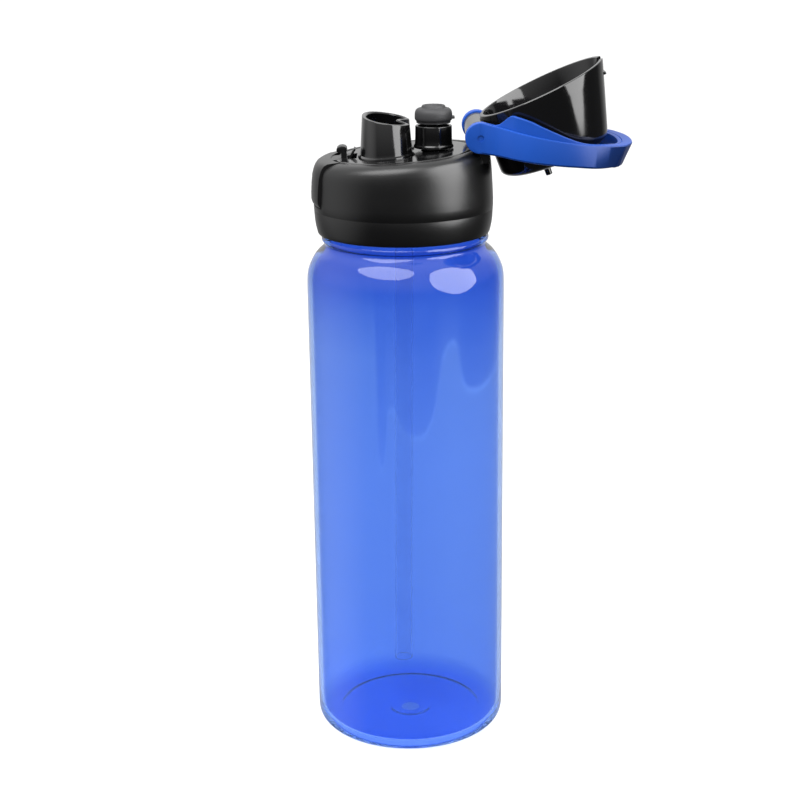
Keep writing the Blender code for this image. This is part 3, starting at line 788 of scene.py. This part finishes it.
# %% Floor
floor_bm = bmesh.new()
bmesh.ops.create_grid(floor_bm, x_segments=1, y_segments=1, size=12000.0)
floor = part("floor", floor_bm)
paper = bpy.data.materials.new("white_paper_sweep")
paper.use_nodes = True
paper_tree = paper.node_tree
fibres = add_node(paper_tree, "ShaderNodeTexNoise", {"Scale": 1 / (3 * MM), "Detail": 2.0},
                  {"Vector": add_node(paper_tree, "ShaderNodeTexCoord").outputs["Object"]})
paper_bump = add_node(paper_tree, "ShaderNodeBump", {"Strength": 0.05, "Distance": 0.05 * MM},
                      {"Height": fibres.outputs["Fac"]})
paper_shader = paper_tree.nodes["Principled BSDF"]
paper_shader.inputs["Base Color"].default_value = linear("#f4f4f4")
paper_shader.inputs["Roughness"].default_value = 0.9
paper_shader.inputs["Specular IOR Level"].default_value = 0.1
paper_tree.links.new(paper_bump.outputs["Normal"], paper_shader.inputs["Normal"])
floor.data.materials.append(paper)
floor.visible_glossy = False
floor.visible_diffuse = False

# %% Dome of light
scene = bpy.context.scene
scene.view_settings.view_transform = "Standard"
scene.cycles.max_bounces = 32
scene.cycles.transmission_bounces = 24
scene.cycles.glossy_bounces = 16
world = bpy.data.worlds.new("soft_room")
scene.world = world
world.use_nodes = True
sky = world.node_tree
sky.nodes.clear()
toward = add_node(sky, "ShaderNodeSeparateXYZ", links={
    "Vector": add_node(sky, "ShaderNodeTexCoord").outputs["Generated"]})
overhead = add_node(sky, "ShaderNodeMapRange",
                    {"From Min": 0.0, "From Max": 1.0, "To Min": 0.07, "To Max": 1.62},
                    {"Value": toward.outputs["Z"]})
behind = add_node(sky, "ShaderNodeMapRange",
                  {"From Min": 0.55, "From Max": 0.95, "To Min": 0.0, "To Max": 0.5},
                  {"Value": toward.outputs["Y"]})
left_side = add_node(sky, "ShaderNodeMapRange",
                     {"From Min": -0.72, "From Max": -1.0, "To Min": 0.0, "To Max": 0.8},
                     {"Value": toward.outputs["X"]})
sides = add_node(sky, "ShaderNodeMath", {"operation": "ADD"},
                 {0: left_side.outputs["Result"], 1: behind.outputs["Result"]})
room = add_node(sky, "ShaderNodeMath", {"operation": "ADD"},
                {0: overhead.outputs["Result"], 1: sides.outputs[0]})
WHITE = (1.0, 1.0, 1.0, 1.0)
room_light = add_node(sky, "ShaderNodeBackground", {"Color": WHITE},
                      {"Strength": room.outputs[0]})
plain_white = add_node(sky, "ShaderNodeBackground", {"Color": WHITE, "Strength": 1.0})
ray = add_node(sky, "ShaderNodeLightPath")
direct = add_node(sky, "ShaderNodeMath", {"operation": "ADD", "use_clamp": True},
                  {0: ray.outputs["Is Camera Ray"], 1: ray.outputs["Transmission Depth"]})
blend = add_node(sky, "ShaderNodeMixShader", links={
    0: direct.outputs[0], 1: room_light.outputs[0], 2: plain_white.outputs[0]})
add_node(sky, "ShaderNodeOutputWorld", links={"Surface": blend.outputs[0]})

# %% [markdown]
# Two soft boxes draw the highlights: a tall one at the right, and one high
# over the lid.


# %% Soft boxes
def soft_box(name, place, aim, width, height, power):
    """An oval lamp in metres and watts that only reflections and surfaces see."""
    lamp = bpy.data.lights.new(name, "AREA")
    lamp.shape = "ELLIPSE"
    lamp.size, lamp.size_y, lamp.energy = width, height, power
    holder = bpy.data.objects.new(name, lamp)
    scene.collection.objects.link(holder)
    holder.location = place
    holder.rotation_euler = (Vector(aim) - Vector(place)).to_track_quat("-Z", "Y").to_euler()
    holder.visible_camera = False
    holder.visible_transmission = False
    return holder


LID_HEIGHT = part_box("lid_collar")[1].z
AIM = (0.0, 0.0, LID_HEIGHT)
front_box = soft_box("front_right_box", (0.484, -0.257, 0.51), (0.0, 0.0, 0.4), 0.66, 0.78, 9.6)
front_box.visible_diffuse = False
soft_box("overhead_box", (-0.31, -0.445, 1.05), AIM, 1.1, 0.7, 12.0)

# %% [markdown]
# ## Camera
# A 75 mm lens, a little above the lid and tilted down, so that the sloping
# deck is seen from above and the bottle's side stays nearly upright.

# %% Camera
PAN, TILT, ROLL = -0.00439337, 0.302824, -0.0125064
forward = Vector((math.sin(PAN) * math.cos(TILT), math.cos(PAN) * math.cos(TILT), -math.sin(TILT)))
level_right = Vector((math.cos(PAN), -math.sin(PAN), 0.0))
level_up = level_right.cross(forward)
right = math.cos(ROLL) * level_right + math.sin(ROLL) * level_up
up = math.cos(ROLL) * level_up - math.sin(ROLL) * level_right
lens = bpy.data.cameras.new("studio_camera")
lens.lens, lens.sensor_width = 74.51, 36.0
camera = bpy.data.objects.new("studio_camera", lens)
scene.collection.objects.link(camera)
camera.matrix_world = (Matrix.Translation((0.0, -0.67305, 0.35614))
                       @ Matrix((right, up, -forward)).transposed().to_4x4())
scene.camera = camera
